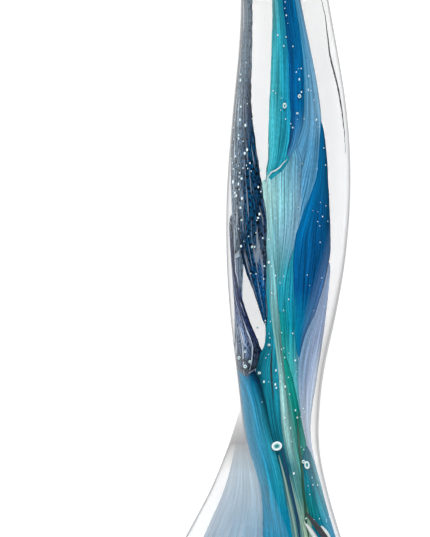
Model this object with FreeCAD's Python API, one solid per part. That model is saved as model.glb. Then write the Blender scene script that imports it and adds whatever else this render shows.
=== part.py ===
import FreeCAD, Part
import math
import os

os.makedirs("parts", exist_ok=True)

# Glass dip pen, all lengths in millimetres.
# Stations run along the pen: s = 0 at the middle of the first broad lobe, s grows towards the tail
# and is negative towards the nib.  In a cross-section u runs along the flat bar and w across it;
# the long "A" edge is at +u, the short "B" edge at -u, the crowned face at +w, the flat face at -w.

# ---------------------------------------------------------------- the twisted handle
TWIST_PER_MM = math.radians(4.63)
FLAT_ON_STATION = -0.48
FLAT_FACE_CROWN = 0.05
EDGE_RADIUS = 2.64
LOBE_CROWN = 1.33

# station, reach of the A edge centre, reach of the B edge centre, edge radius, crown height
HANDLE_SECTIONS = [
    (-33.0, 0.25, 0.15, 2.75, 0.30),
    (-24.0, 1.50, 0.55, 2.66, 0.95),
    (-15.0, 2.30, 0.90, EDGE_RADIUS, 1.30),
    (-6.0, 3.00, 1.50, EDGE_RADIUS, LOBE_CROWN),
    (3.0, 3.40, 1.80, EDGE_RADIUS, LOBE_CROWN),
    (12.0, 3.65, 1.95, EDGE_RADIUS, LOBE_CROWN),
    (19.0, 3.05, 1.80, EDGE_RADIUS, LOBE_CROWN),
    (25.0, 3.95, 3.40, EDGE_RADIUS, LOBE_CROWN),
    (31.0, 5.65, 4.60, EDGE_RADIUS, LOBE_CROWN),
    (39.0, 7.10, 5.60, 2.62, 1.30),
    (49.0, 6.30, 5.70, 2.60, 1.30),
    (59.0, 4.40, 4.40, 2.55, 1.25),
    (70.0, 3.30, 3.20, 2.50, 1.10),
    (82.0, 2.80, 2.70, 2.30, 0.90),
    (94.0, 1.60, 1.60, 1.90, 0.60),
    (102.0, 0.40, 0.40, 1.50, 0.20),
]
STATION, A_REACH, B_REACH, EDGE, CROWN = range(5)
HANDLE_START = -33.0
HANDLE_END = 102.0
HANDLE_STEP = 3.0
OUTLINE_POINTS = 48
OUTLINE_DETAIL = 120
TINY_LENGTH = 1e-12

# ---------------------------------------------------------------- the colour layer
# The coloured strips lie on a closed ring inside the clear glass.  Angles on the ring are in
# degrees: 0 at the A edge, 90 under the crowned face, 180 at the B edge, 270 under the flat face.
RING_PAST_A = 0.65
RING_PAST_B = 1.45
RING_HALF_DEPTH = 1.5
RING_DEPTH_LEAN = 0.5
RING_LIFT = 0.4
STRIP_THICKNESS = 0.35
STRIP_GAP_DEGREES = 1.0
STRIP_STEP = 2.5
STRIP_ARC_POINTS = 9

# name: list of (station, first angle, last angle), nib end first
STRIPS = {
    "teal_strip": [
        (-31, 4, 9), (-28, 6, 24), (-22, 20, 45), (-15, 38, 61), (-10, 50, 80),
        (-5, 65, 97), (-3, 76, 103), (-1.8, 92, 107), (-1.2, 103, 108)],
    "cobalt_strip": [
        (-30, -27, -22), (-26, -22, -2), (-21, -8, 17), (-15, 12, 37), (-10, 30, 49),
        (-5, 48, 64), (-2, 68, 73)],
    "steel_blue_strip": [
        (-29, -62, -57), (-25, -58, -26), (-20, -38, -9), (-15, -20, 11), (-10, -2, 29), (-5, 22, 47),
        (-3.5, 32, 56), (-2, 42, 66), (0, 56, 86), (2, 70, 90), (4, 86, 91)],
    "aqua_strip": [
        (-2, 76, 81), (-1, 86, 101), (-0.5, 88, 110), (3, 92, 119), (5, 98, 122), (7, 111, 125),
        (9, 121, 128), (10.5, 126, 130)],
    "ultramarine_strip": [
        (-4, 20, 24), (-2, 24, 36), (0, 28, 51), (1, 30, 60), (3, 31, 75), (5, 33, 88), (8, 47, 97),
        (11, 72, 99), (13, 98, 109), (14.2, 107, 111)],
    "teal_green_strip": [
        (5.5, 97, 101), (8, 99, 113), (10, 102, 125), (12, 108, 134), (13, 114, 138), (16, 126, 142),
        (18, 129, 133)],
    "lilac_strip": [
        (6.5, 31, 35), (8, 34, 44), (11, 42, 69), (13, 47, 95), (14, 50, 104), (15.5, 56, 118),
        (17, 62, 122), (20, 80, 127), (24, 100, 119), (29, 118, 128), (33, 130, 135)],
    "lime_thread": [
        (1, 121, 124), (8, 129.5, 133), (10, 134, 141), (15, 147, 156), (20, 164, 180), (25, 190, 204),
        (29, 207, 214), (40, 234, 242), (55, 265, 272), (66, 288, 292)],
    "emerald_strip": [
        (16.5, 144, 148), (18.5, 135, 152), (21, 133, 166), (25, 160, 188), (29, 186, 205),
        (38, 206, 229), (48, 226, 248), (60, 246, 272), (72, 268, 290), (80, 284, 289)],
    "turquoise_strip": [
        (22.5, 124, 128), (25, 124, 155), (29, 134, 180), (36, 156, 196), (45, 178, 213), (56, 202, 232),
        (70, 230, 256), (84, 262, 278), (90, 274, 279)],
    "navy_strip": [
        (-32, 64, 68), (-25, 78, 86), (-15, 103, 111), (-10, 117, 123), (-5, 126, 139), (0, 127, 157),
        (3, 127, 167), (6, 140, 178), (8, 148, 184), (10, 155, 167), (11, 159, 163)],
    "slate_strip": [
        (-32, 72, 76), (-25, 90, 100), (-15, 113, 122), (-10, 125, 142), (-5, 141, 163), (0, 159, 186),
        (3, 169, 198), (5, 181, 203), (7, 200, 205)],
    "deep_teal_strip": [
        (11, 147, 151), (12, 150, 164), (14, 156, 190), (16, 163, 207), (20, 183, 213), (25, 206, 217),
        (29, 216, 226), (40, 245, 254), (54, 276, 285), (64, 296, 300)],
    "indigo_strip": [
        (9, 208, 212), (11, 205, 226), (13, 194, 236), (15, 212, 232), (16.2, 222, 226)],
    "cyan_strip": [
        (12, 262, 267), (14, 246, 262), (17, 228, 246), (20, 215, 239), (25, 219, 242), (29, 228, 252),
        (40, 257, 281), (54, 288, 313), (68, 320, 338), (74, 332, 337)],
    "pearl_veil": [
        (11, 300, 306), (13, 280, 330), (15, 262, 336), (17, 249, 338), (20, 242, 338), (25, 245, 337),
        (29, 255, 338), (40, 284, 350), (54, 316, 368), (68, 342, 385), (82, 366, 398), (92, 388, 396)],
    "tail_blue_strip": [
        (26, 18, 24), (30, 16, 82), (40, 26, 132), (50, 50, 150), (60, 82, 166), (72, 118, 188),
        (84, 150, 206), (94, 186, 198)],
}

# ---------------------------------------------------------------- neck, collar and tail drop
# (station, radius) profiles turned about the pen axis
NECK_RADIUS = 3.1
NECK_NIB_END = -40.0
NECK_SHOULDER = 0.3
COLLAR_NIB_END = -36.0
COLLAR_RADIUS = 3.70
COLLAR_PROFILE_POINTS = 9
DROP_PROFILE = [
    (HANDLE_END, 1.55), (102.8, 1.62), (103.8, 2.00), (104.9, 2.18), (106.0, 1.93), (107.0, 1.20),
    (107.5, 0.35)]

# ---------------------------------------------------------------- the nib
NIB_BACK = NECK_NIB_END - NECK_SHOULDER
NIB_BACK_RADIUS = 3.0
RIB_COUNT = 8
RIB_TWIST_PER_MM = math.radians(6.5)
RIB_HALF_ANGLE = math.radians(180.0 / RIB_COUNT - 1.6)
RIB_EDGE_DROP = 0.30
RIB_STEP = 2.0
RIB_TIP_STATION = -62.6
RIB_LOBE_POINTS = 9
SEAM = 0.02
CORE_SHARE = 0.42
NIB_TIP_PROFILE = [(-64.46, 0.24), (-64.32, 0.30), (-63.46, 0.46), (RIB_TIP_STATION, 0.62)]
NIB_PROFILE = [
    (-62.6, 0.62), (-60.0, 1.00), (-56.0, 1.62), (-52.0, 2.20), (-48.0, 2.66), (-44.0, 2.92),
    (NIB_BACK, NIB_BACK_RADIUS)]

# ---------------------------------------------------------------- how the pen lies on a table
REST_ROLL_DEGREES = -2.18
REST_PITCH_DEGREES = 2.44


def smooth_value(keys, column, station):
    """Value of one column of a key list at a station, as a monotone cubic that never overshoots."""
    xs = [key[0] for key in keys]
    ys = [key[column] for key in keys]
    if station <= xs[0]:
        return ys[0]
    if station >= xs[-1]:
        return ys[-1]
    last = len(xs) - 1
    rises = [(ys[i + 1] - ys[i]) / (xs[i + 1] - xs[i]) for i in range(last)]
    slopes = [0.0] * (last + 1)
    for i in range(1, last):
        if rises[i - 1] * rises[i] > 0:
            before = 2 * (xs[i + 1] - xs[i]) + (xs[i] - xs[i - 1])
            after = (xs[i + 1] - xs[i]) + 2 * (xs[i] - xs[i - 1])
            slopes[i] = (before + after) / (before / rises[i - 1] + after / rises[i])
    i = max(j for j in range(last) if xs[j] <= station)
    span = xs[i + 1] - xs[i]
    t = (station - xs[i]) / span
    start_part = (2 * t**3 - 3 * t**2 + 1) * ys[i] + (t**3 - 2 * t**2 + t) * span * slopes[i]
    end_part = (3 * t**2 - 2 * t**3) * ys[i + 1] + (t**3 - t**2) * span * slopes[i + 1]
    return start_part + end_part


def stations_between(first, last, step):
    """Evenly spaced stations from first to last, no further apart than step."""
    count = max(2, math.ceil((last - first) / step))
    return [first + (last - first) * i / count for i in range(count + 1)]


def even_parameters(count):
    """Equal curve parameters, so that neighbouring sections share their knots and the loft stays light."""
    return [i / (count - 1) for i in range(count)]


def smooth_edge(points):
    """Edge through a list of points that are evenly spread along it."""
    curve = Part.BSplineCurve()
    curve.interpolate(Points=points, Parameters=even_parameters(len(points)))
    return curve.toShape()


def place(station, u, w):
    """Point of the cross-section at a station, turned by the twist of the handle there."""
    turn = TWIST_PER_MM * (station - FLAT_ON_STATION)
    across = u * math.cos(turn) + w * math.sin(turn)
    up = -u * math.sin(turn) + w * math.cos(turn)
    return FreeCAD.Vector(-station, -across, up)


def normal_directions(half, depth):
    """Directions from 0 to 180 degrees, dense both on the round edges and along the face."""
    even = [math.pi * i / OUTLINE_DETAIL for i in range(OUTLINE_DETAIL + 1)]
    along_face = [math.atan2(half * math.sin(t), depth * math.cos(t)) for t in even]
    return sorted(even + along_face)


def half_outline(station, depth, side):
    """One face of the handle from the A edge to the B edge: a half-ellipse grown by a disc."""
    a_reach = smooth_value(HANDLE_SECTIONS, A_REACH, station)
    b_reach = smooth_value(HANDLE_SECTIONS, B_REACH, station)
    radius = smooth_value(HANDLE_SECTIONS, EDGE, station)
    half = (a_reach + b_reach) / 2
    middle = (a_reach - b_reach) / 2
    points = []
    for direction in normal_directions(half, depth):
        cos_d = math.cos(direction)
        sin_d = math.sin(direction)
        reach = math.hypot(half * cos_d, depth * sin_d)
        u = middle + half**2 * cos_d / reach + radius * cos_d
        w = depth**2 * sin_d / reach + radius * sin_d
        points.append((u, side * w))
    return points


def evenly_spaced(points, count):
    """The given closed outline again as count points, equally far apart along it."""
    lengths = [0.0]
    for first, second in zip(points, points[1:]):
        lengths.append(lengths[-1] + math.dist(first, second))
    result = []
    i = 0
    for k in range(count):
        wanted = lengths[-1] * k / count
        while lengths[i + 1] < wanted:
            i += 1
        share = (wanted - lengths[i]) / max(lengths[i + 1] - lengths[i], TINY_LENGTH)
        result.append(tuple(a + share * (b - a) for a, b in zip(points[i], points[i + 1])))
    return result


def handle_section(station):
    """Closed outer outline of the handle at a station."""
    crowned = half_outline(station, smooth_value(HANDLE_SECTIONS, CROWN, station), 1)
    flat = half_outline(station, FLAT_FACE_CROWN, -1)
    outline = evenly_spaced(crowned + flat[::-1], OUTLINE_POINTS)
    points = [place(station, u, w) for u, w in outline]
    return Part.Wire([smooth_edge(points + points[:1])])


def loft(sections):
    """Smooth solid through a list of section wires, always the right way out."""
    solid = Part.makeLoft(sections, True, False)
    if solid.Volume < 0:
        solid.reverse()
    return solid


def ring_point(station, angle, inset):
    """Point of the colour ring at a station; inset moves it towards the middle of the glass."""
    radians = math.radians(angle)
    scale = smooth_value(HANDLE_SECTIONS, EDGE, station) / EDGE_RADIUS
    a_end = smooth_value(HANDLE_SECTIONS, A_REACH, station) + RING_PAST_A * scale
    b_end = smooth_value(HANDLE_SECTIONS, B_REACH, station) + RING_PAST_B * scale
    crown = smooth_value(HANDLE_SECTIONS, CROWN, station)
    middle = (a_end - b_end) / 2
    half_width = (a_end + b_end) / 2 - inset
    half_depth = (RING_HALF_DEPTH - RING_DEPTH_LEAN * math.cos(radians)) * scale - inset
    lift = RING_LIFT * scale * crown / LOBE_CROWN
    u = middle + half_width * math.cos(radians)
    w = lift + half_depth * math.sin(radians)
    return place(station, u, w)


def band_wire(outer, inner):
    """Closed wire of two smooth edges joined by straight ends; the inner points run backwards."""
    return Part.Wire([
        smooth_edge(outer),
        Part.makeLine(outer[-1], inner[0]),
        smooth_edge(inner),
        Part.makeLine(inner[-1], outer[0]),
    ])


def strip_section(station, first_angle, last_angle):
    """Thin curved quadrilateral between two angles of the colour ring."""
    steps = STRIP_ARC_POINTS - 1
    angles = [first_angle + (last_angle - first_angle) * i / steps for i in range(STRIP_ARC_POINTS)]
    outer = [ring_point(station, angle, 0.0) for angle in angles]
    inner = [ring_point(station, angle, STRIP_THICKNESS) for angle in reversed(angles)]
    return band_wire(outer, inner)


def make_strip(keys):
    """One coloured strip: its two edges follow smooth curves through the key angles."""
    sections = []
    for station in stations_between(keys[0][0], keys[-1][0], STRIP_STEP):
        first_angle = smooth_value(keys, 1, station) + STRIP_GAP_DEGREES / 2
        last_angle = smooth_value(keys, 2, station) - STRIP_GAP_DEGREES / 2
        sections.append(strip_section(station, first_angle, last_angle))
    return loft(sections)


def make_casing(strips):
    """Clear glass of the handle, with one sealed pocket round every coloured strip."""
    sections = [handle_section(s) for s in stations_between(HANDLE_START, HANDLE_END, HANDLE_STEP)]
    shells = [loft(sections).OuterShell]
    for strip in strips:
        shells.append(strip.OuterShell.reversed())
    return Part.makeSolid(Part.makeCompound(shells))


def spin(outline):
    """Solid of revolution about the pen axis of a list of edges that starts and ends on the axis."""
    start = outline[0].Vertexes[0].Point
    end = outline[-1].Vertexes[-1].Point
    face = Part.Face(Part.Wire(outline + [Part.makeLine(end, start)]))
    solid = face.revolve(FreeCAD.Vector(0, 0, 0), FreeCAD.Vector(1, 0, 0), 360)
    if solid.Volume < 0:
        solid.reverse()
    return solid


def turned(profile):
    """Turned solid whose side follows a smooth (station, radius) profile."""
    points = [FreeCAD.Vector(-station, 0, radius) for station, radius in profile]
    curve = Part.BSplineCurve()
    curve.interpolate(points)
    start = FreeCAD.Vector(-profile[0][0], 0, 0)
    end = FreeCAD.Vector(-profile[-1][0], 0, 0)
    return spin([Part.makeLine(start, points[0]), curve.toShape(), Part.makeLine(points[-1], end)])


def make_neck():
    """Plain round grip neck between the nib and the collar, with a slight shoulder at the nib."""
    profile = [
        (COLLAR_NIB_END, 0), (COLLAR_NIB_END, NECK_RADIUS), (NECK_NIB_END, NECK_RADIUS),
        (NIB_BACK, NIB_BACK_RADIUS), (NIB_BACK, 0)]
    points = [FreeCAD.Vector(-station, 0, radius) for station, radius in profile]
    return spin([Part.makeLine(first, second) for first, second in zip(points, points[1:])])


def make_collar():
    """Round bead pressed on where the neck meets the handle."""
    middle = (COLLAR_NIB_END + HANDLE_START) / 2
    half = (HANDLE_START - COLLAR_NIB_END) / 2
    rim = COLLAR_RADIUS - half
    profile = []
    for i in range(COLLAR_PROFILE_POINTS):
        angle = math.pi * i / (COLLAR_PROFILE_POINTS - 1)
        profile.append((middle - half * math.cos(angle), rim + half * math.sin(angle)))
    return turned(profile)


def nib_radius(station):
    return smooth_value(NIB_PROFILE, 1, station)


def make_nib_core():
    """Tapered middle of the nib that carries the ribs."""
    profile = []
    for station in stations_between(RIB_TIP_STATION, NIB_BACK, RIB_STEP):
        profile.append((station, CORE_SHARE * nib_radius(station)))
    return turned(profile)


def make_nib_point():
    """Rounded writing point in front of the ribs."""
    return turned(NIB_TIP_PROFILE)


def rib_section(station, middle_angle):
    """Section of one nib rib: a rounded lobe outside, an arc hugging the core inside."""
    outer_radius = nib_radius(station)
    inner_radius = CORE_SHARE * outer_radius + SEAM
    turn = middle_angle + RIB_TWIST_PER_MM * (station - NIB_BACK)
    outer = []
    inner = []
    for i in range(RIB_LOBE_POINTS):
        across = -1 + 2 * i / (RIB_LOBE_POINTS - 1)
        angle = turn + across * RIB_HALF_ANGLE
        lobe = outer_radius * (1 - RIB_EDGE_DROP * across**2)
        outer.append(FreeCAD.Vector(-station, lobe * math.cos(angle), lobe * math.sin(angle)))
        inner.append(FreeCAD.Vector(
            -station, inner_radius * math.cos(angle), inner_radius * math.sin(angle)))
    inner.reverse()
    return band_wire(outer, inner)


def make_nib_rib(number):
    """One of the twisted ribs whose grooves carry the ink to the point."""
    middle_angle = 2 * math.pi * number / RIB_COUNT
    stations = stations_between(RIB_TIP_STATION, NIB_BACK, RIB_STEP)
    return loft([rib_section(station, middle_angle) for station in stations])


def make_pen():
    """Every node of the pen by name, in the upright working frame."""
    nodes = {name: make_strip(keys) for name, keys in STRIPS.items()}
    nodes["handle_casing"] = make_casing(list(nodes.values()))
    nodes["tail_drop"] = turned(DROP_PROFILE)
    nodes["collar_bead"] = make_collar()
    nodes["grip_neck"] = make_neck()
    nodes["nib_core"] = make_nib_core()
    nodes["nib_point"] = make_nib_point()
    for number in range(RIB_COUNT):
        nodes[f"nib_rib_{number + 1}"] = make_nib_rib(number)
    return nodes


def lay_down(nodes):
    """Turn the pen to its resting attitude and stand it on z = 0, centred in x and y."""
    roll = FreeCAD.Rotation(FreeCAD.Vector(1, 0, 0), REST_ROLL_DEGREES)
    pitch = FreeCAD.Rotation(FreeCAD.Vector(0, 1, 0), REST_PITCH_DEGREES)
    turn = FreeCAD.Placement(FreeCAD.Vector(0, 0, 0), pitch.multiply(roll))
    turned_nodes = {name: shape.transformed(turn.toMatrix(), True) for name, shape in nodes.items()}
    box = Part.makeCompound(list(turned_nodes.values())).optimalBoundingBox(False, False)
    shift = FreeCAD.Vector(-(box.XMin + box.XMax) / 2, -(box.YMin + box.YMax) / 2, -box.ZMin)
    for shape in turned_nodes.values():
        shape.translate(shift)
    return turned_nodes


for node_name, node_shape in lay_down(make_pen()).items():
    node_shape.exportStep(f"parts/{node_name}.step")
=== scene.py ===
import math
import random

import bpy
import numpy as np
from mathutils import Matrix, Vector


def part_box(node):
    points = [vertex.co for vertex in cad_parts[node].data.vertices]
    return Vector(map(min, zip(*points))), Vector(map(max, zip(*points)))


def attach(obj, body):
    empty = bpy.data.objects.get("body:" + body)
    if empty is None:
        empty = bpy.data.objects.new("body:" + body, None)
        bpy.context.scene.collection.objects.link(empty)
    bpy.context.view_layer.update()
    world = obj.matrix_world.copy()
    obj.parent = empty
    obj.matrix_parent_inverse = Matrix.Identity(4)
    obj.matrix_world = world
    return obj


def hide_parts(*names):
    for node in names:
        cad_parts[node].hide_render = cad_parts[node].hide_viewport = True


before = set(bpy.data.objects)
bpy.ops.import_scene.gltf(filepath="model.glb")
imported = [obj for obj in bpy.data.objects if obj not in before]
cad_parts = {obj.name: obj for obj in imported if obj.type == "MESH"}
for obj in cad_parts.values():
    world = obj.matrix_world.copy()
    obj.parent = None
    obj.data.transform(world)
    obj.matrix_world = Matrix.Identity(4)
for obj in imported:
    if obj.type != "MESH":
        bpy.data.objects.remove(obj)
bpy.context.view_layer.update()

# All lengths in this script are in millimetres until they become Blender vertices.
# s is the station along the pen: 0 in the middle of the first lobe, growing towards the tail.
# u runs along the flat bar's section and w across it; ring angles are in degrees.
MM = 0.001

# ---------------------------------------------------------------- the handle's shape, as in the CAD
TWIST_PER_MM = math.radians(4.63)
FLAT_ON_STATION = -0.48
FLAT_FACE_CROWN = 0.05
EDGE_RADIUS = 2.64
LOBE_CROWN = 1.33
REST_ROLL = math.radians(-2.18)
REST_PITCH = math.radians(2.44)

# station, reach of the A edge centre, reach of the B edge centre, edge radius, crown height
HANDLE_SECTIONS = [
    (-33.0, 0.25, 0.15, 2.75, 0.30),
    (-24.0, 1.50, 0.55, 2.66, 0.95),
    (-15.0, 2.30, 0.90, EDGE_RADIUS, 1.30),
    (-6.0, 3.00, 1.50, EDGE_RADIUS, LOBE_CROWN),
    (3.0, 3.40, 1.80, EDGE_RADIUS, LOBE_CROWN),
    (12.0, 3.65, 1.95, EDGE_RADIUS, LOBE_CROWN),
    (19.0, 3.05, 1.80, EDGE_RADIUS, LOBE_CROWN),
    (25.0, 3.95, 3.40, EDGE_RADIUS, LOBE_CROWN),
    (31.0, 5.65, 4.60, EDGE_RADIUS, LOBE_CROWN),
    (39.0, 7.10, 5.60, 2.62, 1.30),
    (49.0, 6.30, 5.70, 2.60, 1.30),
    (59.0, 4.40, 4.40, 2.55, 1.25),
    (70.0, 3.30, 3.20, 2.50, 1.10),
    (82.0, 2.80, 2.70, 2.30, 0.90),
    (94.0, 1.60, 1.60, 1.90, 0.60),
    (102.0, 0.40, 0.40, 1.50, 0.20),
]
# columns of the table above, after the station
A_REACH, B_REACH, EDGE, CROWN = range(1, 5)
HANDLE_START, HANDLE_END = HANDLE_SECTIONS[0][0], HANDLE_SECTIONS[-1][0]
HANDLE_STEP = 0.5
OUTLINE_POINTS = 180
FACE_SAMPLES = 721

# ---------------------------------------------------------------- the colour ring
# the ring that the strips lie on, inside the section: how far it reaches past the two edge
# centres, half its depth, how much deeper it is at the B edge, and its lift to the crowned face
RING_PAST_A = 0.65
RING_PAST_B = 1.45
RING_HALF_DEPTH = 1.5
RING_DEPTH_LEAN = 0.5
RING_LIFT = 0.4
STRIP_THICKNESS = 0.35
STRIP_STEP = 0.25
STRIP_COLUMN = 0.11
LAYER_DEPTH = 0.02
OVERLAP = 1.0
TIP_LENGTH = 0.7
RIM_SHADE = 0.25
RIM_WIDTH = 0.07
# a painted glow: the strips give off a little of their own colour, painted light in place of light shining
# through them from behind
PAINTED_BACKLIGHT_GLOW = 0.22
# a strip's smallest half angle at its tip, and its smallest whole angle anywhere
TIP_HALF_ANGLE = 0.3
LEAST_ANGLE = 0.5
LEAST_COLUMNS = 8
# period in millimetres and weight of each wave in a ragged edge, and how far a period may stretch
WOBBLE_WAVES = [(7.0, 0.35), (2.3, 0.3), (0.9, 0.22), (0.4, 0.13)]
WOBBLE_STRETCH = (0.85, 1.2)
# how far these strips stand above the ring, towards the glass surface
EDGE_LIFT = {"navy_strip": 0.28, "slate_strip": 0.30, "indigo_strip": 0.60, "cyan_strip": 0.35}

# The colours of the glass rods that the handle is drawn from, as sRGB.
PALETTE = {
    "deep_blue": "005088", "blue": "0068a0", "cyan": "0084ac", "sky_blue": "3890b4",
    "teal": "2094ac", "bright_teal": "48b0bc", "aqua": "78b8c4", "pale_aqua": "a0d0d0",
    "steel": "4c8cb4", "pale_steel": "78a4c0", "lilac": "7890b4", "pale_lilac": "a8b8cc",
    "emerald": "108880", "deep_green": "007068", "sea_green": "68a0a0", "lime": "a0c0a8",
    "petrol": "086478", "navy": "044064", "ink": "143050", "indigo": "283868",
    "dark_slate": "405468", "slate": "587488", "grey": "8898a8",
    "ice": "a4c0d0", "silver": "dadada", "pearl": "a8b4c0",
}

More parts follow.
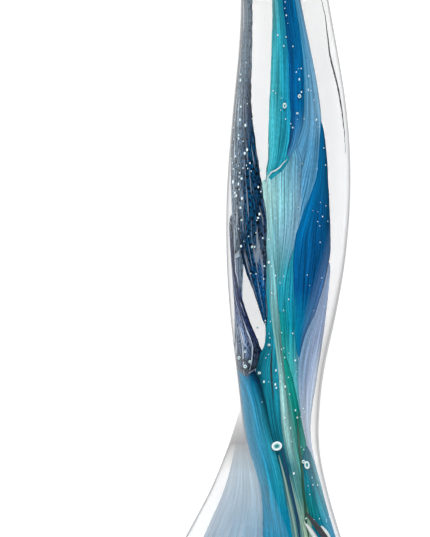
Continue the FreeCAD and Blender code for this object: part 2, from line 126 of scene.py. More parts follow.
# One entry per strip: material slot, layer (0 outermost), edge raggedness in degrees, (station, first
# angle, last angle) keys from the nib end, and tints: a station and its colours from edge to edge.
# The deeper strips run on under their neighbours, so no clear gap opens between fused colours.
STRIPS = {
    "teal_strip": ("teal_glass", 1, 0.5, [
        (-31, 4, 9), (-28, 6, 24), (-22, 18, 45), (-15, 36, 61), (-10, 50, 80), (-5, 65, 97),
        (-3, 74, 103), (-1.6, 84, 107), (-0.9, 92, 110), (0, 104, 113)], [
        (-28, "teal"), (-15, "blue", "teal", "sea_green"), (-12, "blue", "teal", "bright_teal"),
        (-6, "blue", "teal", "bright_teal"), (-3, "teal", "teal", "bright_teal")]),
    "cobalt_strip": ("cobalt_glass", 0, 0.8, [
        (-30, -27, -22), (-26, -22, -2), (-21, -8, 19), (-15, 11, 40), (-10, 31, 54), (-7.5, 43, 62),
        (-5, 56, 69), (-3, 69, 78), (-1.9, 78, 84)], [
        (-26, "blue"), (-12, "blue", "deep_blue"), (-6, "blue", "deep_blue"),
        (-3, "steel", "deep_blue"), (1, "steel")]),
    "steel_blue_strip": ("steel_blue_glass", 3, 0.6, [
        (-29, -62, -57), (-25, -58, -24), (-20, -38, -6), (-15, -20, 15), (-10, -2, 34), (-5, 20, 52),
        (-3.5, 26, 64), (-2, 30, 78), (0, 40, 92), (2, 56, 98), (5, 76, 102)], [
        (-25, "steel"), (-12, "pale_steel", "steel", "cyan"), (-6, "pale_steel", "steel"),
        (-3, "steel"), (0, "steel", "steel", "pale_steel"), (3, "steel")]),
    "aqua_strip": ("aqua_glass", 2, 0.6, [
        (-4, 76, 88), (-2, 66, 104), (-0.5, 70, 112.5), (3, 80, 120), (5, 90, 123), (7, 104, 127),
        (9, 116, 130), (11, 124, 133)], [
        (-2.5, "steel", "aqua"), (1.5, "pale_steel", "aqua", "pale_aqua"), (4.5, "pale_steel", "aqua"),
        (7.5, "teal", "sea_green"), (9, "teal")]),
    "ultramarine_strip": ("cobalt_glass", 1, 0.8, [
        (-5, 19, 23), (-3, 21, 33), (0, 28, 50), (1, 29, 59), (3, 30, 75), (5, 31, 89), (8, 46, 98),
        (11, 71, 102), (13, 96, 110), (14.6, 107, 112)], [
        (0, "navy", "blue"), (3, "navy", "deep_blue", "blue"), (9, "deep_blue"),
        (12, "deep_blue", "cyan")]),
    "teal_green_strip": ("emerald_glass", 3, 0.8, [
        (2, 90, 98), (5.5, 88, 108), (8, 90, 124), (10, 95, 136), (12, 101, 140), (13, 105, 144),
        (16, 118, 150), (20, 128, 146)], [
        (6, "teal"), (9, "blue", "teal", "emerald"), (12, "cyan", "emerald"),
        (15, "bright_teal", "emerald")]),
    "lilac_strip": ("lilac_glass", 3, 0.5, [
        (6.5, 29, 35), (8, 32, 50), (11, 40, 78), (13, 46, 102), (14, 49, 112), (15.5, 55, 124),
        (17, 61, 131), (20, 79, 137), (24, 99, 133), (29, 117, 136), (33, 130, 140)], [
        (7, "lilac"), (13, "lilac", "lilac", "steel"), (16, "pale_lilac", "lilac", "pale_steel"),
        (20, "pale_lilac"), (28, "pale_lilac")]),
    "lime_thread": ("lime_glass", 0, 0.4, [
        (0, 115, 121), (3, 118, 126), (8, 126, 134), (10, 131, 142), (15, 146, 156), (20, 163, 180),
        (25, 189, 204), (29, 206, 214), (40, 234, 242), (55, 265, 272), (66, 288, 292)], [
        (2, "pale_aqua"), (6, "aqua"), (13, "sea_green"), (18, "sea_green", "pale_aqua"),
        (21, "sea_green", "pale_aqua", "sea_green"), (23.5, "sea_green", "petrol"),
        (26, "deep_green", "sea_green"), (29, "lime")]),
    "emerald_strip": ("emerald_glass", 2, 0.8, [
        (14, 138, 146), (16.5, 133, 154), (18.5, 131, 160), (21, 130, 170), (25, 157, 194),
        (29, 184, 209), (38, 206, 233), (48, 226, 250), (60, 246, 273), (72, 268, 290), (80, 284, 289)], [
        (15, "emerald"), (20, "emerald", "deep_green", "sea_green"),
        (23, "emerald", "emerald", "sea_green"), (27, "emerald")]),
    "turquoise_strip": ("turquoise_glass", 1, 0.8, [
        (22, 128, 140), (22.8, 125, 158), (23.8, 122, 170), (25, 122, 182), (27, 126, 200),
        (29, 132, 210), (36, 155, 222), (45, 177, 236), (56, 201, 246), (70, 230, 268), (84, 262, 282),
        (90, 274, 279)], [
        (22.5, "petrol"), (24.8, "aqua", "petrol", "teal"), (27, "petrol", "teal", "deep_green"),
        (29, "cyan", "cyan", "petrol"), (45, "cyan"), (70, "teal")]),
    "navy_strip": ("navy_glass", 1, 1.2, [
        (-32, 64, 68), (-25, 78, 86), (-15, 102, 112), (-10, 115, 126), (-5, 125, 144), (0, 123, 162),
        (3, 124, 172), (5, 130, 178), (6, 133, 177), (7.6, 139, 172), (9.2, 147, 166), (10.8, 153, 163),
        (12.0, 158, 163)], [
        (-25, "slate"), (-12, "slate"), (-6, "ink", "slate"), (-3, "navy", "navy", "slate"),
        (3, "ink", "navy", "dark_slate"), (6, "dark_slate", "navy", "ink"),
        (9, "deep_blue", "deep_blue", "ink"), (12, "navy")]),
    "slate_strip": ("slate_glass", 2, 1.0, [
        (-32, 72, 76), (-25, 86, 100), (-15, 109, 124), (-10, 122, 146), (-5, 138, 174), (0, 156, 202),
        (2, 163, 214), (4, 176, 222), (5.4, 190, 226), (6.6, 206, 226)], [
        (-25, "slate"), (-12, "slate"), (-6, "slate", "dark_slate"), (0, "slate", "dark_slate"),
        (3, "grey", "dark_slate"), (6, "slate")]),
    "deep_teal_strip": ("turquoise_glass", 3, 0.8, [
        (5, 124, 132), (7, 128, 138), (9, 134, 146), (11, 140, 156), (12.6, 141, 164), (13.6, 143, 174),
        (14.6, 146, 194), (16, 154, 214), (20, 176, 218), (25, 200, 220), (29, 212, 229),
        (40, 241, 258), (54, 271, 290), (64, 296, 300)], [
        (6, "sea_green"), (10, "teal"), (14, "teal", "petrol"), (24, "petrol"), (27, "sea_green"),
        (40, "petrol")]),
    "indigo_strip": ("navy_glass", 1, 0.8, [
        (3, 222, 230), (4.6, 216, 236), (6, 212, 238), (7.6, 209, 238), (9.2, 204, 238),
        (10.8, 197, 239), (12.2, 190, 240), (13.6, 184, 242), (15, 196, 246), (16.2, 214, 242)], [
        (4, "dark_slate", "grey"), (7, "indigo", "grey"), (10, "indigo", "indigo", "grey"),
        (12.7, "indigo", "lilac", "dark_slate"), (15.7, "dark_slate")]),
    "cyan_strip": ("cyan_glass", 1, 0.8, [
        (12.6, 240, 252), (13.8, 232, 268), (15, 222, 282), (16, 213, 284), (17, 206, 270),
        (18.5, 205, 258), (20, 208, 255), (22, 212, 249), (23.5, 215, 246), (25, 219, 246),
        (26.5, 223, 250), (29, 229, 257), (40, 256, 284), (54, 287, 316), (68, 320, 339), (74, 332, 337)], [
        (14.5, "navy"), (16.5, "navy", "cyan", "cyan"), (19, "petrol", "sky_blue", "cyan"),
        (22, "teal", "sky_blue", "cyan"), (25, "teal", "cyan"), (28, "cyan")]),
    "pearl_veil": ("pearl_glass", 3, 0.6, [
        (15.4, 264, 290), (16.2, 256, 330), (17.2, 246, 338), (20, 236, 341), (25, 238, 347),
        (29, 248, 350), (40, 278, 358), (54, 310, 368), (68, 335, 385), (82, 366, 398), (92, 388, 396)], [
        (14, "ice"), (18, "ice", "silver"), (21, "ice", "silver"), (24, "ice", "pearl"),
        (29, "pale_steel", "pearl"), (60, "pearl")]),
    "tail_blue_strip": ("cobalt_glass", 2, 0.8, [
        (26, 18, 24), (30, 16, 82), (40, 26, 132), (50, 50, 160), (60, 82, 180), (72, 118, 200),
        (84, 150, 212), (94, 186, 198)], [
        (30, "steel"), (42, "blue", "deep_blue", "bright_teal"),
        (52, "steel", "deep_blue", "bright_teal"), (64, "cyan"), (80, "bright_teal")]),
}


def smooth_values(keys, column, stations):
    """Monotone cubic through one column of a key list, for an array of stations."""
    xs = np.array([key[0] for key in keys], float)
    ys = np.array([key[column] for key in keys], float)
    stations = np.clip(stations, xs[0], xs[-1])
    spans = np.diff(xs)
    rises = np.diff(ys) / spans
    slopes = np.zeros(len(xs))
    for i in range(1, len(xs) - 1):
        if rises[i - 1] * rises[i] > 0:
            before = 2 * spans[i] + spans[i - 1]
            after = spans[i] + 2 * spans[i - 1]
            slopes[i] = (before + after) / (before / rises[i - 1] + after / rises[i])
    i = np.clip(np.searchsorted(xs, stations, side="right") - 1, 0, len(xs) - 2)
    t = (stations - xs[i]) / spans[i]
    start_part = (2 * t**3 - 3 * t**2 + 1) * ys[i] + (t**3 - 2 * t**2 + t) * spans[i] * slopes[i]
    end_part = (3 * t**2 - 2 * t**3) * ys[i + 1] + (t**3 - t**2) * spans[i] * slopes[i + 1]
    return start_part + end_part


def section_size(column, stations):
    """One column of the handle's table at these stations, in millimetres."""
    return smooth_values(HANDLE_SECTIONS, column, stations)


def place(stations, u, w):
    """Section points in the pen's own frame: X to the nib, Z up, in millimetres."""
    turn = TWIST_PER_MM * (stations - FLAT_ON_STATION)
    across = u * np.cos(turn) + w * np.sin(turn)
    up = -u * np.sin(turn) + w * np.cos(turn)
    return np.stack(np.broadcast_arrays(-stations, -across, up), -1)


REST_TURN = np.array(Matrix.Rotation(REST_PITCH, 3, "Y") @ Matrix.Rotation(REST_ROLL, 3, "X"))


def handle_outline(station):
    """Outer section of the handle as evenly spaced (u, w) points from the A edge over the crown."""
    a_reach, b_reach, radius, crown = (
        float(section_size(column, np.array(station))) for column in (A_REACH, B_REACH, EDGE, CROWN))
    half = (a_reach + b_reach) / 2
    middle = (a_reach - b_reach) / 2
    even = np.linspace(0, math.pi, FACE_SAMPLES)
    loops = []
    for depth, side in ((crown, 1), (FLAT_FACE_CROWN, -1)):
        along_face = np.arctan2(half * np.sin(even), depth * np.cos(even))
        direction = np.sort(np.concatenate([even, along_face]))
        reach = np.hypot(half * np.cos(direction), depth * np.sin(direction))
        u = middle + half**2 * np.cos(direction) / reach + radius * np.cos(direction)
        w = side * (depth**2 * np.sin(direction) / reach + radius * np.sin(direction))
        loops.append(np.stack([u, w], 1)[::side])
    outline = np.concatenate(loops)
    lengths = np.concatenate([[0], np.cumsum(np.hypot(*np.diff(outline, axis=0).T))])
    wanted = np.linspace(0, lengths[-1], OUTLINE_POINTS, endpoint=False)
    return np.interp(wanted, lengths, outline[:, 0]), np.interp(wanted, lengths, outline[:, 1])


def ring_points(stations, angles, inset):
    """Points of the colour ring; inset moves them towards the middle of the glass."""
    radians = np.radians(angles)
    scale = section_size(EDGE, stations) / EDGE_RADIUS
    a_end = section_size(A_REACH, stations) + RING_PAST_A * scale
    b_end = section_size(B_REACH, stations) + RING_PAST_B * scale
    middle = (a_end - b_end) / 2
    half_width = (a_end + b_end) / 2 - inset
    half_depth = (RING_HALF_DEPTH - RING_DEPTH_LEAN * np.cos(radians)) * scale - inset
    lift = RING_LIFT * scale * section_size(CROWN, stations) / LOBE_CROWN
    u = middle + half_width * np.cos(radians)
    w = lift + half_depth * np.sin(radians)
    return place(stations, u, w)


# ---------------------------------------------------------------- meshes
def handle_grid():
    """Outlines of the whole handle, one row per station, turned to lie at rest."""
    stations = np.linspace(HANDLE_START, HANDLE_END, int((HANDLE_END - HANDLE_START) / HANDLE_STEP) + 1)
    rows = []
    for station in stations:
        u, w = handle_outline(station)
        rows.append(place(np.full(len(u), station), u, w))
    return np.array(rows) @ REST_TURN.T


HANDLE_GRID = handle_grid()


def find_shift():
    """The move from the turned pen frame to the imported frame, read off the casing's box."""
    low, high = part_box("handle_casing")
    cad_middle = (np.array(low) + np.array(high)) / 2 / MM
    points = HANDLE_GRID.reshape(-1, 3)
    return cad_middle - (points.min(0) + points.max(0)) / 2


SHIFT = find_shift()


def to_frame(points):
    """Pen-frame millimetres to packed-frame metres."""
    return (points @ REST_TURN.T + SHIFT) * MM


def new_piece(name, vertices, faces):
    """A smooth-shaded mesh object that rides on the pen's one body."""
    mesh = bpy.data.meshes.new(name)
    mesh.from_pydata([tuple(v) for v in vertices], [], [tuple(int(i) for i in f) for f in faces])
    mesh.validate()
    mesh.polygons.foreach_set("use_smooth", [True] * len(mesh.polygons))
    piece = bpy.data.objects.new(name, mesh)
    bpy.context.scene.collection.objects.link(piece)
    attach(piece, "root")
    return piece


def tube_faces(rows, columns):
    """Quads of a closed tube given as a grid of rings, with its two flat ends."""
    faces = []
    for i in range(rows - 1):
        for j in range(columns):
            k = (j + 1) % columns
            faces.append((i * columns + j, i * columns + k, (i + 1) * columns + k, (i + 1) * columns + j))
    faces.append(tuple(reversed(range(columns))))
    faces.append(tuple((rows - 1) * columns + j for j in range(columns)))
    return faces


def linear(hex_colour):
    """sRGB hex colour to linear RGB."""
    values = [int(hex_colour[i:i + 2], 16) / 255 for i in (0, 2, 4)]
    return [v / 12.92 if v <= 0.04045 else ((v + 0.055) / 1.055) ** 2.4 for v in values]


def wobble(x, seed):
    """Smooth irregular wave between about -1 and 1."""
    total = np.zeros_like(x, dtype=float)
    source = random.Random(seed)
    for period, weight in WOBBLE_WAVES:
        phase = source.uniform(0, 2 * math.pi)
        stretch = source.uniform(*WOBBLE_STRETCH)
        total += weight * np.sin(2 * math.pi * x / (period * stretch) + phase)
    return total


def across_colours(names, shares):
    """Named palette colours spread evenly from one edge of a strip to the other."""
    colours = np.array([linear(PALETTE[name]) for name in names])
    spread = np.linspace(0, 1, len(names))
    return np.stack([np.interp(shares, spread, channel) for channel in colours.T], -1)


def tint_colours(tints, stations, shares):
    """A strip's colours, blended along the pen from each of its tints to the next."""
    marks = [tint[0] for tint in tints]
    place_in_list = np.interp(stations, marks, np.arange(len(marks)))
    total = np.zeros(stations.shape + (3,))
    for number, (_, *names) in enumerate(tints):
        weight = np.clip(1 - np.abs(place_in_list - number), 0, 1)
        total += weight[..., None] * across_colours(names, shares)
    return total


def strip_edges(name, stations, keys, ragged):
    """Angles of a strip's two edges: smooth through the keys, drawn to a point at both ends."""
    start = smooth_values(keys, 1, stations) - OVERLAP
    end = smooth_values(keys, 2, stations) + OVERLAP
    to_tip = np.minimum(stations - stations[0], stations[-1] - stations) / TIP_LENGTH
    taper = np.clip(to_tip, 0.0, 1.0) ** 0.5
    middle = (start + end) / 2
    half = (end - start) / 2 * taper + TIP_HALF_ANGLE
    ragged_start = middle - half + ragged * taper * wobble(stations, name + " start")
    ragged_end = middle + half + ragged * taper * wobble(stations, name + " end")
    return start, end, ragged_start, np.maximum(ragged_end, ragged_start + LEAST_ANGLE)


def strip_body(stations, angles, depth):
    """Rings of a strip's outer face and, back the other way, its inner face."""
    grid = np.repeat(stations[:, None], angles.shape[1], 1)
    outer = ring_points(grid, angles, depth)
    inner = ring_points(grid, angles, STRIP_THICKNESS + depth)
    return np.concatenate([outer, inner[:, ::-1]], 1)


def strip_colours(tints, stations, shares, widths):
    """Blended tint of a strip's points, darker towards its two edges."""
    colours = tint_colours(tints, stations, shares)
    rim = np.minimum(shares, 1 - shares) * widths
    colours *= (1 - RIM_SHADE * np.exp(-np.clip(rim, 0, None) / RIM_WIDTH))[..., None]
    return colours.reshape(-1, 3)


def make_strip(name):
    """One coloured strip with ragged edges, its blended tint and its flow map."""
    slot, layer, ragged, keys, tints = STRIPS[name]
    first, last = keys[0][0], keys[-1][0]
    rows = int((last - first) / STRIP_STEP) + 1
    stations = np.linspace(first, last, rows)
    smooth_start, smooth_end, start, end = strip_edges(name, stations, keys, ragged)
    edges = ring_points(stations, np.stack([smooth_start, smooth_end]), 0.0)
    widths = np.linalg.norm(edges[1] - edges[0], axis=-1)
    columns = max(LEAST_COLUMNS, int(widths.max() / STRIP_COLUMN))
    angles = start[:, None] + (end - start)[:, None] * np.linspace(0, 1, columns)
    shares = (angles - smooth_start[:, None]) / (smooth_end - smooth_start)[:, None]
    rings = strip_body(stations, angles, LAYER_DEPTH * layer - EDGE_LIFT.get(name, 0.0))
    piece = new_piece(name, to_frame(rings.reshape(-1, 3)), tube_faces(rows, 2 * columns))
    both_shares = np.concatenate([shares, shares[:, ::-1]], 1)
    both_stations = np.repeat(stations[:, None], 2 * columns, 1)
    both_widths = np.repeat(widths[:, None], 2 * columns, 1)
    paint(piece, strip_colours(tints, both_stations, both_shares, both_widths))
    across = both_shares * widths.max()
    across[:, columns:] += STRIP_THICKNESS
    set_flow(piece, np.stack([across, both_stations], -1).reshape(-1, 2))
    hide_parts(name)
    return piece


def paint(piece, colours):
    """Give every point of the mesh its own tint."""
    attribute = piece.data.color_attributes.new("tint", "FLOAT_COLOR", "POINT")
    rgba = np.concatenate([colours, np.ones((len(colours), 1))], 1)
    attribute.data.foreach_set("color", rgba.astype(np.float32).ravel())


def set_flow(piece, flow):
    """UV map in millimetres: across the strip, and along the pen."""
    layer = piece.data.uv_layers.new(name="flow")
    corner_vertices = np.zeros(len(piece.data.loops), np.int32)
    piece.data.loops.foreach_get("vertex_index", corner_vertices)
    layer.data.foreach_set("uv", flow[corner_vertices].astype(np.float32).ravel())


# ---------------------------------------------------------------- materials
GLASS_IOR = 1.47
# the clear glass by how far it turns away: a light warm middle, then a dark rim of painted shade standing
# in for the grey lines that its round edges show on white
PAINTED_RIM_STOPS = [(0.57, (0.935, 0.905, 0.885)), (0.75, (0.045, 0.04, 0.04))]
# streaks per millimetre, across and along the strip
BROAD_STREAKS = (2.2, 0.10)
FINE_STREAKS = (9.0, 0.18)
GRAIN = (9.0, 3.0)
FLAKES = (8.0, 3.2)
SILVER_THREADS = (5.0, 0.25)
# how much stronger the fine streaks are than the broad ones
FINE_SHARE = 1.6
# darkest and palest flake, and the limits its shade is kept between
FLAKE_DEPTH = -0.7
FLAKE_TOP = 2.6
FLAKE_LIMITS = (0.04, 1.15)
SILVER_RANGE = (-1.8, 1.0)
SILVER_WHITE = (0.62, 0.70, 0.80, 1)
STRIP_ROUGHNESS = 0.8
NOISE_DETAIL = 3.0
NOISE_MIDDLE = (0.3, 0.7)
# bubbles glow a little in their ramp colour: painted light
BUBBLE_PAINTED_GLOW = 0.35
BUBBLE_ROUGHNESS = 0.25
HAIR_NOISE = 900.0
HAIR_ROUGHNESS = 0.4


def new_material(name):
    """A new material with its nodes, its links and its main shader."""
    material = bpy.data.materials.new(name)
    material.use_nodes = True
    nodes = material.node_tree.nodes
    return material, nodes, material.node_tree.links, nodes["Principled BSDF"]


def clear_glass():
    """Clear fire-polished glass, with a painted dark rim: painted shade for the grey lines that its round
    edges show on white.
    """
    material, nodes, links, shader = new_material("clear_glass")
    shader.inputs["Transmission Weight"].default_value = 1.0
    shader.inputs["IOR"].default_value = GLASS_IOR
    shader.inputs["Roughness"].default_value = 0.0
    # the base colour carries the painted dark rim
    links.new(facing_ramp(nodes, links, PAINTED_RIM_STOPS), shader.inputs["Base Color"])
    let_out_straight(nodes, links, shader)
    return material


def facing_ramp(nodes, links, stops):
    """A colour that changes as the surface turns away from the viewer; it carries the painted rims and
    painted highlights.
    """
    facing = nodes.new("ShaderNodeLayerWeight")
    facing.inputs["Blend"].default_value = 0.5
    ramp = nodes.new("ShaderNodeValToRGB")
    elements = ramp.color_ramp.elements
    while len(elements) < len(stops):
        elements.new(1.0)
    for element, (position, colour) in zip(elements, stops):
        element.position = position
        element.color = (*colour, 1)
    links.new(facing.outputs["Facing"], ramp.inputs["Fac"])
    return ramp.outputs["Color"]


def let_out_straight(nodes, links, shader):
    """Light bends where it enters the glass and leaves it unbent, so no facet traps it inside."""
    side = nodes.new("ShaderNodeNewGeometry")
    unbent = nodes.new("ShaderNodeBsdfTransparent")
    mix = nodes.new("ShaderNodeMixShader")
    links.new(side.outputs["Backfacing"], mix.inputs["Fac"])
    links.new(shader.outputs["BSDF"], mix.inputs[1])
    links.new(unbent.outputs["BSDF"], mix.inputs[2])
    links.new(mix.outputs["Shader"], nodes["Material Output"].inputs["Surface"])


def streaky_glass(name, contrast, specks, silver):
    """Coloured glass pulled into fine streaks, with dark flakes and silvery threads where asked, and a
    faint painted glow of its own colour in place of light shining through it.
    """
    material, nodes, links, shader = new_material(name)
    tint = nodes.new("ShaderNodeVertexColor")
    tint.layer_name = "tint"
    flow = nodes.new("ShaderNodeUVMap")
    flow.uv_map = "flow"
    strong = FINE_SHARE * contrast
    broad = streak_noise(nodes, links, flow, BROAD_STREAKS, 1 - contrast, 1 + contrast)
    fine = streak_noise(nodes, links, flow, FINE_STREAKS, 1 - strong, 1 + strong)
    grain = streak_noise(nodes, links, flow, GRAIN, 1 - contrast / 2, 1 + contrast / 2)
    brightness = product(nodes, links, product(nodes, links, broad, fine), grain)
    if specks:
        flakes = streak_noise(nodes, links, flow, FLAKES, FLAKE_DEPTH * specks, FLAKE_TOP)
        brightness = product(nodes, links, brightness, held_between(nodes, links, flakes, *FLAKE_LIMITS))
    scaled = nodes.new("ShaderNodeVectorMath")
    scaled.operation = "SCALE"
    links.new(tint.outputs["Color"], scaled.inputs[0])
    links.new(brightness, scaled.inputs["Scale"])
    colour = scaled.outputs[0]
    if silver:
        threads = streak_noise(nodes, links, flow, SILVER_THREADS, *SILVER_RANGE)
        colour = whitened(nodes, links, colour, product(nodes, links, threads, silver))
    links.new(colour, shader.inputs["Base Color"])
    # painted glow in the strip's own colour, as if lit through from behind
    links.new(colour, shader.inputs["Emission Color"])
    shader.inputs["Emission Strength"].default_value = PAINTED_BACKLIGHT_GLOW
    shader.inputs["Roughness"].default_value = STRIP_ROUGHNESS
    shader.inputs["Specular IOR Level"].default_value = 0.0
    return material


def product(nodes, links, first, second):
    """Two values multiplied; the second may be a plain number."""
    multiply = nodes.new("ShaderNodeMath")
    multiply.operation = "MULTIPLY"
    links.new(first, multiply.inputs[0])
    if isinstance(second, float):
        multiply.inputs[1].default_value = second
    else:
        links.new(second, multiply.inputs[1])
    return multiply.outputs[0]


def held_between(nodes, links, value, low, high):
    """A value kept between two limits."""
    clamp = nodes.new("ShaderNodeClamp")
    clamp.inputs["Min"].default_value = low
    clamp.inputs["Max"].default_value = high
    links.new(value, clamp.inputs["Value"])
    return clamp.outputs["Result"]


def whitened(nodes, links, colour, share):
    """The colour mixed towards silvery white by a share held between 0 and 1."""
    mix = nodes.new("ShaderNodeMix")
    mix.data_type = "RGBA"
    links.new(held_between(nodes, links, share, 0.0, 1.0), mix.inputs["Factor"])
    links.new(colour, mix.inputs["A"])
    mix.inputs["B"].default_value = SILVER_WHITE
    return mix.outputs["Result"]


def streak_noise(nodes, links, flow, stretch, low, high):
    """Noise drawn out along the strip, spread between a low and a high value."""
    mapping = nodes.new("ShaderNodeMapping")
    mapping.inputs["Scale"].default_value = (stretch[0], stretch[1], 1.0)
    links.new(flow.outputs["UV"], mapping.inputs["Vector"])
    noise = nodes.new("ShaderNodeTexNoise")
    noise.noise_dimensions = "2D"
    noise.inputs["Scale"].default_value = 1.0
    noise.inputs["Detail"].default_value = NOISE_DETAIL
    links.new(mapping.outputs["Vector"], noise.inputs["Vector"])
    spread = nodes.new("ShaderNodeMapRange")
    spread.inputs["From Min"].default_value = NOISE_MIDDLE[0]
    spread.inputs["From Max"].default_value = NOISE_MIDDLE[1]
    spread.inputs["To Min"].default_value = low
    spread.inputs["To Max"].default_value = high
    links.new(noise.outputs["Fac"], spread.inputs["Value"])
    return spread.outputs["Result"]


def painted_bubble_glass(name, stops):
    """Air in glass, drawn with painted light: a colour that changes from the middle to the wall that turns
    away, with painted highlights, a painted dark rim and a faint painted glow.
    """
    material, nodes, links, shader = new_material(name)
    colour = facing_ramp(nodes, links, stops)
    links.new(colour, shader.inputs["Base Color"])
    links.new(colour, shader.inputs["Emission Color"])
    shader.inputs["Emission Strength"].default_value = BUBBLE_PAINTED_GLOW
    shader.inputs["Roughness"].default_value = BUBBLE_ROUGHNESS
    return material


def hair_glass(name, dull, bright):
    """A fine opaque thread in the glass, faintly uneven between two colours."""
    material, nodes, links, shader = new_material(name)
    noise = nodes.new("ShaderNodeTexNoise")
    noise.inputs["Scale"].default_value = HAIR_NOISE
    ramp = nodes.new("ShaderNodeValToRGB")
    ramp.color_ramp.elements[0].color = dull
    ramp.color_ramp.elements[1].color = bright
    links.new(noise.outputs["Fac"], ramp.inputs["Fac"])
    links.new(ramp.outputs["Color"], shader.inputs["Base Color"])
    shader.inputs["Roughness"].default_value = HAIR_ROUGHNESS
    return material


# ---------------------------------------------------------------- bubbles and hairs in the glass
BUBBLE_RINGS = 7
BUBBLE_SIDES = 12
BUBBLE_RISE = 0.10
# zones of fine seed bubbles: how many, station range, angle range, radius range, stretch along
BUBBLE_ZONES = [
    (84, (-14.0, 9.0), (118, 176), (0.045, 0.115), 1.2),
    (26, (-15.0, 5.0), (28, 60), (0.03, 0.06), 1.6),
    (34, (-14.0, 12.0), (30, 118), (0.025, 0.06), 1.4),
    (46, (10.0, 29.5), (138, 206), (0.03, 0.085), 1.4),
    (22, (6.0, 20.0), (110, 150), (0.03, 0.07), 1.4),
    (60, (30.0, 92.0), (60, 300), (0.03, 0.10), 1.8),
]
# single bubbles: station, angle, radius, stretch along
BIG_BUBBLES = [
    (21.93, 204.0, 0.44, 1.0), (23.48, 159.3, 0.27, 1.35), (23.20, 164.0, 0.17, 1.0),
    (14.7, 231.0, 0.15, 1.0), (15.4, 219.0, 0.17, 1.0), (15.0, 206.0, 0.12, 1.2), (14.2, 212.0, 0.11, 1.0),
    (15.9, 200.0, 0.13, 1.0), (-6.2, 74.0, 0.17, 1.5), (-7.0, 52.0, 0.14, 1.3), (-5.6, 60.0, 0.10, 1.0),
    (13.6, 164.0, 0.12, 1.0), (12.2, 178.0, 0.10, 1.1), (3.4, 160.0, 0.11, 1.0), (5.6, 150.0, 0.10, 1.2),
]
SEED_SIZE_POWER = 2
SEED_STRETCH = (0.8, 1.3)
# every hair, slit, pleat, curl and thread on the ring is a path of (station, angle)
HAIR_SIDES = 8
STEPS_PER_KEY = 8
HAIR_TIP_SHARE = 0.25
# the white hair along the teal strip's end
HAIR_RADIUS = 0.055
HAIR = [
    (-1.75, 84.0), (-1.45, 89.0), (-1.05, 94.5), (-0.80, 100.0), (-0.62, 106.0), (-0.20, 111.5),
    (0.60, 115.5)]
# a smoky pleat with white slits beside it, further down the handle
PLEAT_RADIUS = 0.20
PLEAT = [(27.2, 202.0), (28.0, 197.0), (29.0, 190.0), (30.0, 184.0), (31.0, 180.0)]
SLIT_RADIUS = 0.15
SLITS = [[(27.9, 209.0), (28.8, 205.0), (30.4, 199.0)], [(28.3, 187.0), (28.9, 183.0), (29.6, 180.0)]]
# dark curls where the indigo strip ends, above the raised strips
CURL_RADIUS = 0.07
CURL_RISE = 0.70
CURLS = [
    [(13.6, 157.0), (14.4, 163.0), (15.3, 170.0), (16.9, 178.0), (18.1, 183.0)],
    [(14.6, 240.0), (14.5, 232.0), (15.0, 226.0), (14.8, 219.0), (15.2, 212.0), (15.5, 203.0)],
    [(15.3, 236.0), (15.7, 229.0), (15.4, 221.0), (15.8, 213.0), (15.7, 205.0)]]
# fine threads beside the lime one: path, radius, and the dull and bright colour
DEEP_BLUE = (0.0, 0.035, 0.10, 1), (0.0, 0.09, 0.19, 1)
PALE_LIME = (0.22, 0.42, 0.38, 1), (0.45, 0.62, 0.55, 1)
OLIVE = (0.0, 0.05, 0.035, 1), (0.015, 0.13, 0.08, 1)
THREADS = [
    ([(21.6, 194.0), (22.3, 198.0), (24.5, 207.0), (26.6, 213.2), (28.6, 219.0), (31.0, 225.0)],
     0.11, DEEP_BLUE),
    ([(22.7, 208.0), (23.9, 211.0), (26.2, 217.5), (28.9, 223.4), (31.5, 229.0)], 0.08, PALE_LIME),
    ([(23.6, 216.5), (25.4, 221.4), (27.8, 226.6), (30.5, 232.0)], 0.07, DEEP_BLUE),
    ([(24.0, 203.0), (25.6, 208.0), (27.2, 212.0), (29.3, 217.5)], 0.06, PALE_LIME),
    ([(19.0, 137.0), (20.7, 149.3), (23.1, 168.4), (25.4, 190.5), (27.8, 207.0), (30.0, 214.0)],
     0.10, OLIVE),
]
# a painted dark line just under the glass surface, painted shade where the far face's edge shows through
# the glass: station, distance right of the pen axis
PAINTED_EDGE_LINE_RADIUS = 0.10
NEAR_DISTANCE = 0.25
UNDER_SURFACE = 0.97
PAINTED_EDGE_LINE = [
    (-15.4, 2.72), (-13.5, 3.22), (-10.3, 3.70), (-9.6, 3.90), (-7.6, 4.50), (-5.9, 4.86), (-4.3, 5.12),
    (-2.3, 5.34)]


def bubble_mesh(centre, radius, stretch):
    """One closed seed bubble, drawn out along the pen."""
    points = [(stretch * radius, 0.0, 0.0)]
    for ring in range(1, BUBBLE_RINGS):
        polar = math.pi * ring / BUBBLE_RINGS
        for side in range(BUBBLE_SIDES):
            turn = 2 * math.pi * side / BUBBLE_SIDES
            points.append((
                stretch * radius * math.cos(polar), radius * math.sin(polar) * math.cos(turn),
                radius * math.sin(polar) * math.sin(turn)))
    points.append((-stretch * radius, 0.0, 0.0))
    faces = []
    last = len(points) - 1
    for side in range(BUBBLE_SIDES):
        after = (side + 1) % BUBBLE_SIDES
        faces.append((0, 1 + side, 1 + after))
        base = last - BUBBLE_SIDES
        faces.append((last, base + after, base + side))
        for ring in range(BUBBLE_RINGS - 2):
            near = 1 + ring * BUBBLE_SIDES
            far = near + BUBBLE_SIDES
            faces.append((near + side, far + side, far + after, near + after))
    return np.array(points) + centre, faces


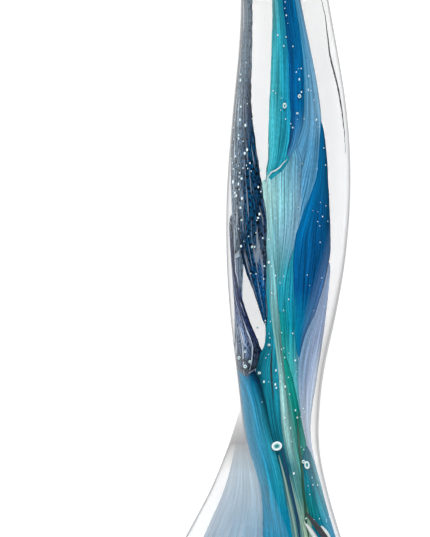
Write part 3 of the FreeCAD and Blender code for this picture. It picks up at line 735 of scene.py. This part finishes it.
def seed_spots():
    """Scattered fine bubbles of every zone: station, angle, radius, stretch."""
    source = random.Random("seed bubbles")
    spots = []
    for count, station_range, angle_range, radius_range, stretch in BUBBLE_ZONES:
        for _ in range(count):
            size = source.random() ** SEED_SIZE_POWER
            spots.append((
                source.uniform(*station_range), source.uniform(*angle_range),
                radius_range[0] + size * (radius_range[1] - radius_range[0]),
                stretch * source.uniform(*SEED_STRETCH)))
    return spots


def lift_at(station, angle):
    """How far the raised strips at this place stand above the colour ring."""
    lift = 0.0
    for name, raised in EDGE_LIFT.items():
        keys = STRIPS[name][3]
        start, end = (float(smooth_values(keys, column, np.array(station))) for column in (1, 2))
        if keys[0][0] <= station <= keys[-1][0] and start - OVERLAP <= angle <= end + OVERLAP:
            lift = max(lift, raised)
    return lift


def make_bubbles(name, spots, material):
    """Bubbles as one piece, lying on the colour ring and on the strips raised above it."""
    vertices = []
    faces = []
    for station, angle, radius, stretch in spots:
        rise = BUBBLE_RISE + radius / 2 + lift_at(station, angle)
        centre = ring_points(np.array(station), np.array(angle), -rise)
        points, own_faces = bubble_mesh(centre, radius, stretch)
        faces += [tuple(i + len(vertices) for i in face) for face in own_faces]
        vertices += list(points)
    piece = new_piece(name, to_frame(np.array(vertices)), faces)
    piece.data.materials.append(material)


def spread_along(path):
    """The two columns of a short path again, with several steps for every key."""
    keys = np.array(path)
    along = np.linspace(0, len(keys) - 1, STEPS_PER_KEY * len(keys))
    return [np.interp(along, np.arange(len(keys)), column) for column in keys.T]


def surface_points(stations, distances):
    """Points just under the upper glass surface at given distances right of the pen axis."""
    points = []
    for station, distance in zip(stations, distances):
        u, w = handle_outline(station)
        outline = place(np.full(len(u), station), UNDER_SURFACE * u, UNDER_SURFACE * w)
        near = np.abs(-outline[:, 1] - distance) < NEAR_DISTANCE
        points.append((-station, -distance, outline[near, 2].max() - PAINTED_EDGE_LINE_RADIUS))
    return np.array(points)


def on_ring(path, rise):
    """Points of a short path on the colour ring, raised towards the surface."""
    return ring_points(*spread_along(path), -rise)


def make_hair(name, centres, radius, material):
    """A thin round thread along a line of points, tapering at both ends."""
    tangents = np.gradient(centres, axis=0)
    tangents /= np.linalg.norm(tangents, axis=1)[:, None]
    side = np.cross(tangents, (0, 0, 1))
    side /= np.linalg.norm(side, axis=1)[:, None]
    up = np.cross(side, tangents)
    share = np.linspace(0, 1, len(centres))
    thickness = radius * (HAIR_TIP_SHARE + (1 - HAIR_TIP_SHARE) * np.sin(math.pi * share))
    rings = []
    for turn in np.linspace(0, 2 * math.pi, HAIR_SIDES, endpoint=False):
        outward = math.cos(turn) * side + math.sin(turn) * up
        rings.append(centres + thickness[:, None] * outward)
    vertices = to_frame(np.stack(rings, 1).reshape(-1, 3))
    piece = new_piece(name, vertices, tube_faces(len(centres), HAIR_SIDES))
    piece.data.materials.append(material)


# ---------------------------------------------------------------- build the object
CLEAR = clear_glass()
STREAKY = streaky_glass("streaky_glass", contrast=0.27, specks=0.0, silver=0.0)
SPECKLED = streaky_glass("speckled_glass", contrast=0.35, specks=1.0, silver=0.3)
PEARLY = streaky_glass("pearly_glass", contrast=0.10, specks=0.0, silver=0.25)
SILVERED = streaky_glass("silvered_glass", contrast=0.35, specks=0.6, silver=1.0)
STRIP_MATERIALS = {
    "pearl_veil": PEARLY, "navy_strip": SPECKLED, "slate_strip": SILVERED, "indigo_strip": SILVERED}

casing = new_piece(
    "handle_casing_clear", (HANDLE_GRID.reshape(-1, 3) + SHIFT) * MM,
    tube_faces(HANDLE_GRID.shape[0], OUTLINE_POINTS))
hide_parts("handle_casing")
casing.data.materials.append(CLEAR)

for strip_name in STRIPS:
    strip = make_strip(strip_name)
    strip.data.materials.append(STRIP_MATERIALS.get(strip_name, STREAKY))

# seed bubbles: a pale painted highlight in the middle and a painted dark rim
SEED = painted_bubble_glass("seed_bubble", [(0.25, (0.72, 0.88, 0.92)), (0.62, (0.03, 0.12, 0.16))])
# large bubbles: a dark teal middle, a painted white highlight ring and a painted dark rim
RINGED = painted_bubble_glass("ringed_bubble", [
    (0.03, (0.01, 0.20, 0.22)), (0.14, (0.45, 0.66, 0.68)), (0.34, (0.90, 0.96, 0.98)),
    (0.56, (0.01, 0.08, 0.10))])
make_bubbles("seed_bubbles", seed_spots(), SEED)
make_bubbles("large_bubbles", BIG_BUBBLES, RINGED)
WHITE_HAIR = hair_glass("white_hair", (0.70, 0.84, 0.86, 1), (0.95, 0.98, 0.98, 1))
# one dark smoky glass for the pleat and for the painted edge line
SMOKY_PLEAT_AND_PAINTED_EDGE = hair_glass("smoky_thread_and_painted_edge", (0.004, 0.008, 0.016, 1), (0.09, 0.10, 0.115, 1))
make_hair("white_hair", on_ring(HAIR, BUBBLE_RISE), HAIR_RADIUS, WHITE_HAIR)
make_hair("smoky_pleat", on_ring(PLEAT, BUBBLE_RISE), PLEAT_RADIUS, SMOKY_PLEAT_AND_PAINTED_EDGE)
for number, slit in enumerate(SLITS):
    make_hair(f"white_slit_{number + 1}", on_ring(slit, BUBBLE_RISE), SLIT_RADIUS, WHITE_HAIR)
DARK_CURL = hair_glass("dark_curl", (0.0, 0.004, 0.010, 1), (0.005, 0.045, 0.065, 1))
for number, curl in enumerate(CURLS):
    make_hair(f"smoky_curl_{number + 1}", on_ring(curl, CURL_RISE), CURL_RADIUS, DARK_CURL)
for number, (path, radius, (dull, bright)) in enumerate(THREADS):
    thread_name = f"fine_thread_{number + 1}"
    make_hair(thread_name, on_ring(path, radius), radius, hair_glass(thread_name, dull, bright))
# the painted edge line: a dark thread of painted shade where the far face's edge shows through the glass
make_hair("smoky_thread_and_painted_edge", surface_points(*spread_along(PAINTED_EDGE_LINE)), PAINTED_EDGE_LINE_RADIUS, SMOKY_PLEAT_AND_PAINTED_EDGE)

# what no piece replaces, the nib, its ribs and the tail drop, is shown as the CAD has it
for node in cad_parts.values():
    if not node.hide_render:
        node.data.materials.clear()
        node.data.materials.append(CLEAR)


# ---------------------------------------------------------------- stage, light and camera
FLOOR_HALF = 2.0
FLOOR_GREY = (0.5, 0.5, 0.5, 1)
FLOOR_ROUGHNESS = 0.9
FLOOR_GLOW = 0.74
# the world is pale up to the lower height and dark above the upper one
HORIZON = (0.10, (0.9, 0.9, 0.9, 1))
OVERHEAD = (0.25, (0.07, 0.07, 0.07, 1))
LAMP_SIZE = 0.4
PEN_CENTRE = (0, 0, 0)
# lamp name, position in metres, watts; both stand off the pen's ends, clear of its highlights
LAMPS = [("key", (0.55, 0.1, 0.55), 4.4), ("fill", (-0.6, -0.1, 0.5), 3.6)]


def make_floor():
    """The pale ground that the pen lies on."""
    corners = [
        (-FLOOR_HALF, -FLOOR_HALF, 0), (FLOOR_HALF, -FLOOR_HALF, 0), (FLOOR_HALF, FLOOR_HALF, 0),
        (-FLOOR_HALF, FLOOR_HALF, 0)]
    mesh = bpy.data.meshes.new("floor")
    mesh.from_pydata(corners, [], [(0, 1, 2, 3)])
    floor = bpy.data.objects.new("floor", mesh)
    bpy.context.scene.collection.objects.link(floor)
    material, _, _, shader = new_material("pale_floor")
    shader.inputs["Base Color"].default_value = FLOOR_GREY
    shader.inputs["Roughness"].default_value = FLOOR_ROUGHNESS
    shader.inputs["Emission Color"].default_value = (1, 1, 1, 1)
    shader.inputs["Emission Strength"].default_value = FLOOR_GLOW
    mesh.materials.append(material)


def make_world():
    """Light from all round: pale near the horizon and dark overhead."""
    world = bpy.data.worlds.new("studio")
    bpy.context.scene.world = world
    world.use_nodes = True
    nodes = world.node_tree.nodes
    links = world.node_tree.links
    background = nodes["Background"]
    background.inputs["Strength"].default_value = 1.0
    direction = nodes.new("ShaderNodeTexCoord")
    split = nodes.new("ShaderNodeSeparateXYZ")
    ramp = nodes.new("ShaderNodeValToRGB")
    for element, (height, colour) in zip(ramp.color_ramp.elements, (HORIZON, OVERHEAD)):
        element.position = height
        element.color = colour
    links.new(direction.outputs["Generated"], split.inputs["Vector"])
    links.new(split.outputs["Z"], ramp.inputs["Fac"])
    links.new(ramp.outputs["Color"], background.inputs["Color"])


def make_light(name, position, watts):
    """A square lamp that faces the pen."""
    light = bpy.data.lights.new(name, "AREA")
    light.size = LAMP_SIZE
    light.energy = watts
    lamp = bpy.data.objects.new(name, light)
    bpy.context.scene.collection.objects.link(lamp)
    lamp.location = position
    towards_pen = Vector(PEN_CENTRE) - Vector(position)
    lamp.rotation_euler = towards_pen.to_track_quat("-Z", "Y").to_euler()


# height of the view in millimetres, lens and sensor, how the pen axis leans and stands off in the
# view, and the view's centre right of and below the first lobe's middle
FRAME_HEIGHT = 44.75
LENS = 200.0
SENSOR = 36.0
AXIS_LEAN = math.atan(0.0314)
AXIS_OFFSET = 0.134
VIEW_CENTRE = (-5.25, 7.29)
NEAREST_SEEN = 0.01


def make_camera():
    """The main view: straight down on the first lobe, with the nib beyond the top of the frame."""
    down = Vector((-1, 0, 0))
    right = Vector((0, -1, 0))
    view_down = down * math.cos(AXIS_LEAN) + right * math.sin(AXIS_LEAN)
    view_right = right * math.cos(AXIS_LEAN) - down * math.sin(AXIS_LEAN)
    centre = view_right * (VIEW_CENTRE[0] - AXIS_OFFSET) + view_down * VIEW_CENTRE[1]
    towards_viewer = view_right.cross(-view_down)
    eye = centre + towards_viewer * (LENS * FRAME_HEIGHT / SENSOR)
    axes = [Vector(REST_TURN @ np.array(axis)) for axis in (view_right, -view_down, towards_viewer)]
    camera = bpy.data.cameras.new("camera")
    camera.lens = LENS
    camera.sensor_width = SENSOR
    camera.clip_start = NEAREST_SEEN
    holder = bpy.data.objects.new("camera", camera)
    bpy.context.scene.collection.objects.link(holder)
    matrix = Matrix(axes).transposed().to_4x4()
    matrix.translation = Vector(to_frame(np.array(eye)))
    holder.matrix_world = matrix
    bpy.context.scene.camera = holder


make_floor()
make_world()
for lamp_name, lamp_position, lamp_watts in LAMPS:
    make_light(lamp_name, lamp_position, lamp_watts)
make_camera()
bpy.context.scene.view_settings.view_transform = "Standard"
